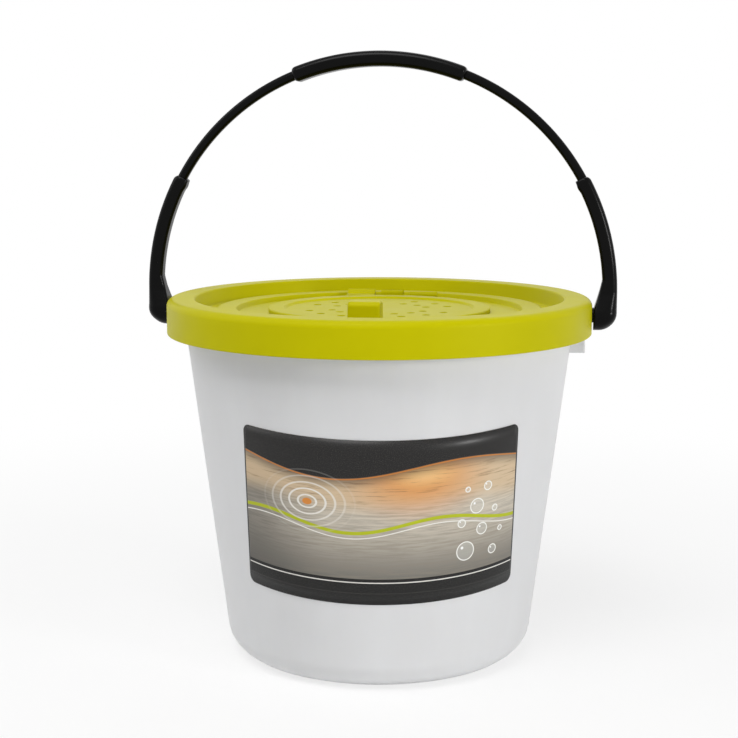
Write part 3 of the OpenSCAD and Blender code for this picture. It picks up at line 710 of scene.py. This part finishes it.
bow = bmesh.new()
strap_step = (180 - 2 * STRAP_START) / STRAP_STEPS
skin_over(bow, [hoop(bow, STRAP_IN, STRAP_OUT, STRAP_DEPTH, STRAP_EDGE, STRAP_EDGE,
                     STRAP_START + strap_step * i) for i in range(STRAP_STEPS + 1)])
strap = make_piece("bail_strap_bow", bow)
smooth_faces(strap, BAIL_SHARP)

# Moulded black polypropylene: near black with a soft satin shine, so its round edges carry long grey
# highlights. Handling has dulled it in faint patches.
black, tree, surface = new_material("moulded_black_polypropylene")
spot = add_node(tree, "ShaderNodeTexCoord").outputs["Object"]
patches = noise(tree, spot, 1 / (18 * MM), 4)
# The eroded mould's grain is about 0.2 mm and is drawn at 0.8 mm so that it shows
grit = noise(tree, spot, 1 / (0.8 * MM), 2)
finish_surface(tree, surface, {
    "Base Color": blend(tree, patches, "#030303", "#070707"), "Roughness": vary(tree, patches, 0.2, 0.27),
    "IOR": 1.49, "Specular IOR Level": 0.09, "Normal": bumps(tree, grit, 0.06, 0.03)})
cover(strap, black)

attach(strap, "bail")
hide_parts("bail_strap")


# ---------------------------------------------------------------- Hand grip
# The grip: a thick sleeve of black polypropylene moulded over the middle of the strap, 18 mm deep and
# 10.2 mm thick, with rounded ends that close on the strap.

GRIP_IN, GRIP_OUT, GRIP_DEPTH, GRIP_EDGE = 149, 159.2, 18, 4
GRIP_END, GRIP_STEPS = 21.8, 48


def rounded_end(radius, gap):
    """How far a surface lies below its full height, at a gap in mm from an end that is rounded."""
    return radius - sqrt(max(radius ** 2 - max(radius - gap, 0) ** 2, 0))


def gap_angle(gap, radius):
    """The angle in degrees that a gap in mm takes up on an arc."""
    return degrees(gap / radius)


end_gaps = (0.1, 0.3, 0.6, 1.0, 1.5, 2.1, 3.0, 4.0)
side_angles = [GRIP_END - gap_angle(gap, GRIP_IN) for gap in end_gaps]
grip_hoops = [(90 - angle, rounded_end(3, gap)) for angle, gap in zip(side_angles, end_gaps)]
grip_hoops += [(90 + side_angles[-1] * (2 * i / GRIP_STEPS - 1), 0) for i in range(1, GRIP_STEPS)]
grip_hoops += [(180 - angle, in_by) for angle, in_by in reversed(grip_hoops[:len(end_gaps)])]
sleeve = bmesh.new()
rings = [hoop(sleeve, GRIP_IN + in_by, GRIP_OUT - in_by, GRIP_DEPTH - 2 * in_by,
              GRIP_EDGE - 0.6 * in_by, GRIP_EDGE - 0.6 * in_by, angle) for angle, in_by in grip_hoops]
skin_over(sleeve, rings)
grip = make_piece("hand_grip_sleeve", sleeve)
smooth_faces(grip, BAIL_SHARP)
cover(grip, black)

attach(grip, "bail")
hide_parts("hand_grip")


# ---------------------------------------------------------------- Bail arms
# The arms: stiff black polypropylene sleeves fixed on the strap's ends. Each thickens towards its round
# foot, and a split pin on the foot snaps through the ear's bore.

ARM_IN, ARM_OUT, ARM_DEPTH, ARM_TOP = 149.4, 159.2, 11, 29.5
ARM_IN_EDGE, ARM_OUT_EDGE = 2.5, 4
PIVOT_X, END_R, FOOT_ROUNDING = 143.8, 10, 12
THROAT_ANGLE = 3.4
# The foot's circle runs into the straight flare 25 degrees above the pivot's level
FLARE_Z, FLARE_HALF = PIVOT_Z + END_R * sin(radians(25)), END_R * cos(radians(25))
# The foot's inner side starts to lean out 3 mm above the pivot, by this much for each mm of height
LEAN_START, LEAN = PIVOT_Z + 3, 0.2745
INNER_AT_ARCH = PIVOT_X + (ARCH_Z - LEAN_START) * LEAN
FOOT_HEIGHTS = (222.06, 222.3, 222.8, 223.6, 224.8, 226.4, 228.2, 230.1, 232, 234,
                235, 236.2, 238.5, 240.8, 243, 245, ARCH_Z)
PIN_R, PIN_HEAD_R, PIN_TIP, PIN_BARB, PIN_ROOT = 5, 6, 134.1, 136.1, 146
SLOT_HALF, SLOT_END = 0.8, 139.1


def foot_hoop(bm, z):
    """One level cross-section of the foot: round in side view, and flared to the ear in front view."""
    depth = 2 * sqrt(max(END_R ** 2 - (PIVOT_Z - z) ** 2, 1.2))
    wide = 1
    if z > FLARE_Z:
        wide = (ARCH_Z - z) / (ARCH_Z - FLARE_Z)
        depth = ARM_DEPTH + (2 * FLARE_HALF - ARM_DEPTH) * wide
    outer = ARM_OUT - rounded_end(FOOT_ROUNDING, FOOT_ROUNDING - max(PIVOT_Z + 2 - z, 0))
    inner = PIVOT_X + max(z - LEAN_START, 0) * LEAN
    outer_edge = min(ARM_OUT_EDGE + 3 * wide, 0.48 * depth, 0.8 * (outer - inner))
    inner_edge = min(ARM_IN_EDGE - 1.3 * wide, 0.3 * depth, 0.15 * (outer - inner))
    return hoop(bm, inner, outer, depth, inner_edge, outer_edge, 0, z)


for side, name, node in ((1, "bail_arm_right_sleeve", "bail_arm_right"),
                         (-1, "bail_arm_left_sleeve", "bail_arm_left")):
    sleeve = bmesh.new()
    hoops = [foot_hoop(sleeve, z) for z in FOOT_HEIGHTS]
    # Above the foot the arm follows the arch, and its inner side thins down over the first few degrees
    for angle in (0.6, 1.2, 1.9, 2.6, 3.1, THROAT_ANGLE, 3.8, 4.4) + tuple(range(6, 26, 2)):
        thick = max(1 - angle / THROAT_ANGLE, 0) * (ARM_IN - INNER_AT_ARCH)
        hoops.append(hoop(sleeve, ARM_IN - thick, ARM_OUT, ARM_DEPTH, ARM_IN_EDGE, ARM_OUT_EDGE, angle))
    # At its top it swells inwards a little, and its outer edge is rounded over down to the strap
    for gap in (9, 7.4, 6, 5, 4, 3.2, 2.5, 1.9, 1.4, 0.95, 0.6, 0.3, 0.12):
        lip = 0.55 * sin(pi * min(max((9 - gap) / 8, 0), 1)) ** 2
        cut = rounded_end(4, gap)
        hoops.append(hoop(sleeve, ARM_IN - lip + rounded_end(1, gap), ARM_OUT - cut,
                          ARM_DEPTH - 0.7 * cut, ARM_IN_EDGE, ARM_OUT_EDGE - 0.55 * cut,
                          ARM_TOP - gap_angle(gap, ARM_IN)))
    skin_over(sleeve, hoops)
    # The pin, with a slot across it so that its head can squeeze through the bore
    pin = turned([(0, PIN_TIP, 0), (PIN_HEAD_R - 0.8, PIN_TIP, 0), (PIN_HEAD_R, PIN_TIP + 0.8, 0.3),
                  (PIN_HEAD_R, PIN_BARB, 0.3), (PIN_R, PIN_BARB, 0), (PIN_R, PIN_ROOT, 0),
                  (0, PIN_ROOT, 0)], 48)
    bmesh.ops.rotate(pin, cent=(0, 0, 0), matrix=Matrix.Rotation(pi / 2, 3, 'Y'), verts=pin.verts[:])
    bmesh.ops.translate(pin, vec=(0, 0, PIVOT_Z * MM), verts=pin.verts[:])
    pin_piece = make_piece("pin", pin)
    carve(pin_piece, block((133, -SLOT_HALF, PIVOT_Z - 12), (SLOT_END, SLOT_HALF, PIVOT_Z + 12)))
    sleeve.from_mesh(pin_piece.data)
    bpy.data.objects.remove(pin_piece)
    if side < 0:
        mirror(sleeve)
    arm = make_piece(name, sleeve)
    smooth_faces(arm, BAIL_SHARP)
    cover(arm, black)
    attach(arm, "bail")
    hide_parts(node)


# ---------------------------------------------------------------- Studio
# A plain white floor under soft lamps: the main one high in front, one low on the right, and two weak ones
# on the left and behind. Seen straight, the floor is mostly white light, and it keeps a faint shadow of
# the bucket.

WHITE = (1, 1, 1, 1)


def rays_of(tree, kinds):
    """1 for a light ray of one of these kinds, and 0 for any other."""
    rays = add_node(tree, "ShaderNodeLightPath")
    found = rays.outputs[kinds[0]]
    for kind in kinds[1:]:
        found = maths(tree, 'ADD', found, rays.outputs[kind], use_clamp=True)
    return found


# The floor lies 0.1 mm low, so that it doesn't share a plane with the foot ring
ground = bmesh.new()
bmesh.ops.create_grid(ground, x_segments=1, y_segments=1, size=20,
                      matrix=Matrix.Translation((0, 0, -0.1 * MM)))
floor = make_piece("studio_floor", ground)
paper, tree, surface = new_material("white_backdrop_paper")
spot = add_node(tree, "ShaderNodeTexCoord").outputs["Object"]
fleck = noise(tree, spot, 1 / (60 * MM), 2)
lit = add_node(tree, "ShaderNodeBsdfDiffuse", {"Color": blend(tree, fleck, "#F4F4F4", "#F8F8F8")})
glow = add_node(tree, "ShaderNodeEmission", {"Color": WHITE, "Strength": 1})
# The paper is lit evenly further out, and near the bucket it keeps more of the shadow
distance = vector_maths(tree, 'LENGTH', spot).outputs["Value"]
even_light = add_node(tree, "ShaderNodeMapRange", {"Value": distance, "From Min": 0.15, "From Max": 0.9,
                                                   "To Min": 0.75, "To Max": 1},
                      interpolation_type='SMOOTHSTEP').outputs[0]
straight = maths(tree, 'MULTIPLY', rays_of(tree, ("Is Camera Ray", "Is Glossy Ray")), even_light)
mixed = add_node(tree, "ShaderNodeMixShader", {0: straight, 1: lit.outputs[0], 2: glow.outputs[0]})
tree.links.new(mixed.outputs[0], surface)
cover(floor, paper)

world = bpy.data.worlds.new("white_studio")
world.use_nodes = True
tree = world.node_tree
tree.nodes.clear()
seen = rays_of(tree, ("Is Camera Ray", "Is Glossy Ray", "Is Transmission Ray"))
around = add_node(tree, "ShaderNodeBackground", {"Color": WHITE, "Strength": 0.2})
behind = add_node(tree, "ShaderNodeBackground", {"Color": WHITE, "Strength": 1})
sky = add_node(tree, "ShaderNodeMixShader", {0: seen, 1: around.outputs[0], 2: behind.outputs[0]})
out = add_node(tree, "ShaderNodeOutputWorld")
tree.links.new(sky.outputs[0], out.inputs["Surface"])
bpy.context.scene.world = world

target = Vector((0, 0, 0.2))
for name, where, size, power in (("lamp_above_front", (-0.27, -1.02, 1.9), 1.0, 24.2),
                                 ("lamp_right", (1.7, -0.99, 0.55), 0.42, 15),
                                 ("lamp_left", (-1.61, -0.28, 1.35), 1.0, 6.8),
                                 ("lamp_behind", (0.1, 1.3, 1.75), 1.0, 4)):
    lamp = bpy.data.lights.new(name, 'AREA')
    lamp.shape = 'SQUARE'
    lamp.size = size
    lamp.energy = power
    lamp_object = bpy.data.objects.new(name, lamp)
    lamp_object.location = where
    lamp_object.rotation_euler = (target - Vector(where)).to_track_quat('-Z', 'Y').to_euler()
    bpy.context.scene.collection.objects.link(lamp_object)

# The camera stands about 1.05 m off and a little to the right, turned 7 degrees and 8.69 degrees down
lens = bpy.data.cameras.new("studio_camera")
lens.lens = 75.75
lens.sensor_width = 36
lens.shift_x = -0.0012
lens.shift_y = 0.0008
camera = bpy.data.objects.new("studio_camera", lens)
camera.location = (0.12135, -1.0404, 0.3526)
camera.rotation_euler = (radians(90 - 8.69), 0, radians(7))
bpy.context.scene.collection.objects.link(camera)
bpy.context.scene.camera = camera
bpy.context.scene.view_settings.view_transform = 'Standard'
